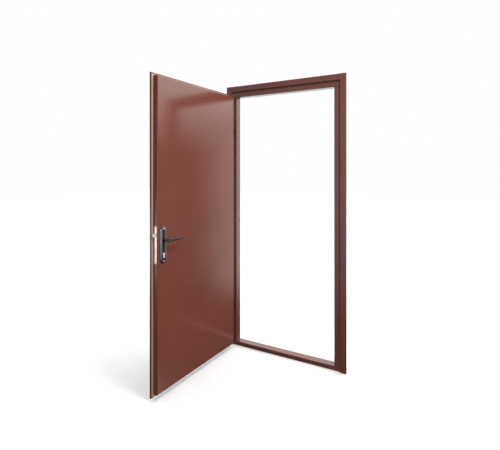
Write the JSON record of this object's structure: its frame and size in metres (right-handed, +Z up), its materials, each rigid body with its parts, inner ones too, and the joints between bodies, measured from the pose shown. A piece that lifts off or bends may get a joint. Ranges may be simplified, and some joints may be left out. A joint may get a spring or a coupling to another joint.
{
  "type": "entrance door",
  "caption": "Painted sheet-steel entrance door: bent frame with threshold and a smooth swinging leaf with lip, lever handles, latch and round bolts.",
  "frame": {"origin": "centre of the threshold's underside, on the floor in the middle of the doorway", "axes": "+X to the right seen from the side the leaf opens to, +Y through the doorway into the building, +Z up"},
  "size_m": [1.0243, 0.9054, 2.05],
  "materials": {
    "frame_paint": "powder coat, satin reddish brown",
    "leaf_paint": "powder coat, glossy reddish brown",
    "hinge_steel": "powder coat over turned steel",
    "seal_rubber": "matt, very dark brown",
    "handle_coat": "dark anthracite, satin",
    "bright_steel": "zinc plated, bright",
    "cylinder_nickel": "satin nickel"
  },
  "bodies": {
    "frame": {"left_jamb": "frame_paint", "right_jamb": "frame_paint", "head_rail": "frame_paint", "threshold": "frame_paint", "frame_seal_left": "seal_rubber", "frame_seal_right": "seal_rubber", "frame_seal_head": "seal_rubber", "lower_frame_knuckle": "hinge_steel", "upper_frame_knuckle": "hinge_steel"},
    "leaf": {"leaf_outer_sheet": "leaf_paint", "leaf_inner_sheet": "leaf_paint", "lower_leaf_knuckle": "hinge_steel", "upper_leaf_knuckle": "hinge_steel", "lock_faceplate": "bright_steel", "lock_case": "bright_steel", "inner_handle_plate": "handle_coat", "outer_handle_plate": "handle_coat", "lock_cylinder": "cylinder_nickel"},
    "handle": {"inner_lever": "handle_coat", "outer_lever": "handle_coat", "handle_spindle": "bright_steel"},
    "latch": {"latch_bolt": "bright_steel"},
    "bolts": {"deadbolts": "bright_steel"}
  },
  "joints": [
    {"name": "leaf_swing", "type": "hinge", "parent": "frame", "child": "leaf", "pos_m": [-0.425, -0.047, 0.3], "axis": [0, 0, -1], "range_deg": [-94.5, 75.5]},
    {"name": "handle_turn", "type": "hinge", "parent": "leaf", "child": "handle", "pos_m": [-0.46578, -0.81366, 0.963], "axis": [-0.9969, 0.0785, 0], "range_deg": [0, 40], "stiffness_Nm_per_rad": 1.2, "springref_deg": -28.65},
    {"name": "latch_slide", "type": "slide", "parent": "leaf", "child": "latch", "axis": [0.0785, 0.9969, 0], "range_m": [0, 0.0135]},
    {"name": "bolt_slide", "type": "slide", "parent": "leaf", "child": "bolts", "axis": [-0.0785, -0.9969, 0], "range_m": [0, 0.02]}
  ],
  "couplings": [
    {"joint": "latch_slide", "follows": "handle_turn", "m_per_rad": 0.0193}
  ]
}
